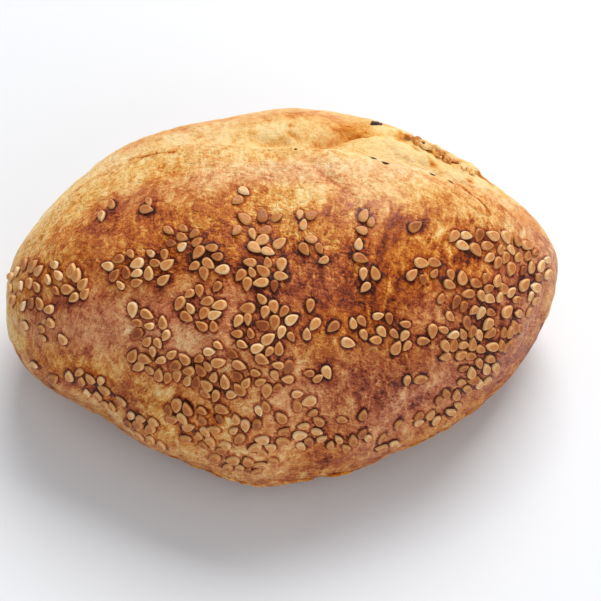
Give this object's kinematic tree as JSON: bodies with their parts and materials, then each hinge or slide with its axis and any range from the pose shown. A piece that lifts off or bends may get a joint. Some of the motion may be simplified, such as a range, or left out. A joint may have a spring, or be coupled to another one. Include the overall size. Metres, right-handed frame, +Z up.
{
  "type": "olive pogaca",
  "caption": "Baked olive pogaca, a small folded bun with a glazed brown crust, a seam along the crest and sesame seeds in clusters",
  "frame": {"origin": "the middle of the bounding box in X and Y, on the flat underside that the bun rests on", "axes": "+X runs along the bun to its sharper tip, +Z is up, and -Y is the glazed front with most of the seeds"},
  "size_m": [0.12, 0.0846, 0.0506],
  "materials": {
    "crust": "glazed baked crust",
    "sesame": "toasted sesame seeds",
    "olive": "baked black olive bits"
  },
  "bodies": {
    "root": {"pogaca": "crust"}
  },
  "joints": []
}
